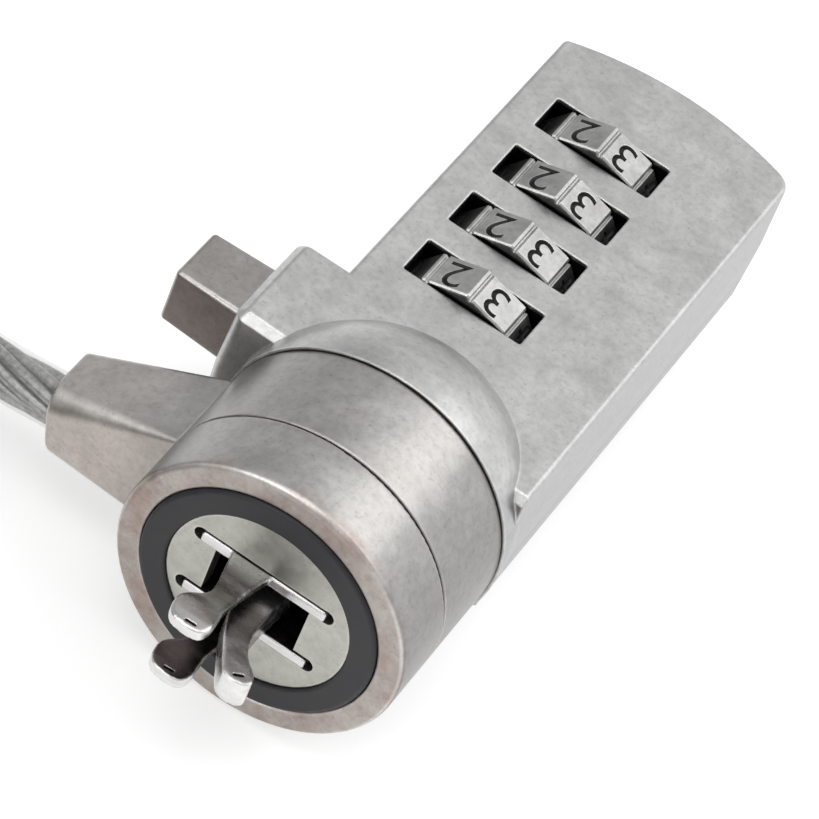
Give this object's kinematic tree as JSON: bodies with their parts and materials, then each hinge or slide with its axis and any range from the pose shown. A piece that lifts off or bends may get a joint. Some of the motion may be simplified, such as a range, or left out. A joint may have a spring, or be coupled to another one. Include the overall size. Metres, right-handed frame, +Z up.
{
  "type": "combination cable lock",
  "caption": "Numbered-wheel cable lock with a scissor-hook head in a rubber-faced nose, a side push button, a swivelling cable collar and a coiled cable with an eye.",
  "frame": {"origin": "centre of the hook head on the seat plane, the front of the rubber washer", "axes": "+Y along the nose axis from the head towards the tail, +Z up towards the dials' windows, +X to the right seen from the head, so the button and the cable leave towards -X"},
  "size_m": [0.1073, 0.1068, 0.023],
  "materials": {
    "cast_nickel": "fine bead-blasted nickel plate on a die casting",
    "disc_metal": "satin nickel plate",
    "dial_metal": "satin nickel plate with engraved digits",
    "hook_steel": "hardened steel, lightly ground",
    "steel_part": "plain turned or pressed steel",
    "rubber_black": "matt black",
    "cable_jacket": "twisted galvanised steel strand under a clear vinyl jacket",
    "tie_plastic": "soft black strap"
  },
  "bodies": {
    "cable_collar": {"swivel_collar": "cast_nickel", "cable_ferrule": "steel_part", "cable": "cable_jacket", "cable_coil": "cable_jacket", "cable_tail": "cable_jacket", "coil_ties": "tie_plastic", "eye_ferrule": "steel_part", "cable_eye": "cable_jacket"},
    "lock_body": {"housing": "cast_nickel", "front_ring": "cast_nickel", "rubber_washer": "rubber_black", "face_disc": "disc_metal", "hook_carrier": "steel_part", "upper_hook": "hook_steel", "lower_hook": "hook_steel", "hook_pivot_pin": "steel_part", "hook_spacers": "steel_part", "hook_spring": "steel_part", "spindle_spring": "steel_part", "detent_comb": "steel_part", "bottom_cover": "cast_nickel", "cover_screws": "steel_part"},
    "button": {"push_button": "cast_nickel"},
    "hook": {"centre_hook": "hook_steel"},
    "code_shaft": {"spindle": "steel_part"},
    "dial_body_1": {"dial_1": "dial_metal", "dial_hub_1": "steel_part"},
    "dial_body_2": {"dial_2": "dial_metal", "dial_hub_2": "steel_part"},
    "dial_body_3": {"dial_3": "dial_metal", "dial_hub_3": "steel_part"},
    "dial_body_4": {"dial_4": "dial_metal", "dial_hub_4": "steel_part"}
  },
  "joints": [
    {"name": "collar_swivel", "type": "hinge", "parent": "cable_collar", "child": "lock_body", "pos_m": [0, 0.0096, 0], "axis": [0, 1, 0], "continuous": true},
    {"name": "dial_1_turn", "type": "hinge", "parent": "lock_body", "child": "dial_body_1", "pos_m": [-0.0017, 0.02896, 0.0011], "axis": [0, 1, 0], "continuous": true},
    {"name": "dial_2_turn", "type": "hinge", "parent": "lock_body", "child": "dial_body_2", "pos_m": [-0.0017, 0.03523, 0.0011], "axis": [0, 1, 0], "continuous": true},
    {"name": "dial_3_turn", "type": "hinge", "parent": "lock_body", "child": "dial_body_3", "pos_m": [-0.0017, 0.0415, 0.0011], "axis": [0, 1, 0], "continuous": true},
    {"name": "dial_4_turn", "type": "hinge", "parent": "lock_body", "child": "dial_body_4", "pos_m": [-0.0017, 0.04777, 0.0011], "axis": [0, 1, 0], "continuous": true},
    {"name": "button_slide", "type": "slide", "parent": "lock_body", "child": "button", "axis": [1, 0, 0], "range_m": [0, 0.00242], "stiffness_N_per_m": 500, "springref_m": -0.002, "deforming": ["hook_spring"]},
    {"name": "centre_hook_swing", "type": "hinge", "parent": "lock_body", "child": "hook", "pos_m": [-0.0003, 0.00925, 0], "axis": [0, 0, 1], "range_deg": [-12.8, 0]},
    {"name": "spindle_slide", "type": "slide", "parent": "lock_body", "child": "code_shaft", "axis": [0, 1, 0], "range_m": [0, 0.00157], "deforming": ["spindle_spring"]}
  ],
  "couplings": [
    {"joint": "centre_hook_swing", "follows": "button_slide", "rad_per_m": -91.8},
    {"joint": "spindle_slide", "follows": "button_slide", "ratio": 0.64516}
  ]
}
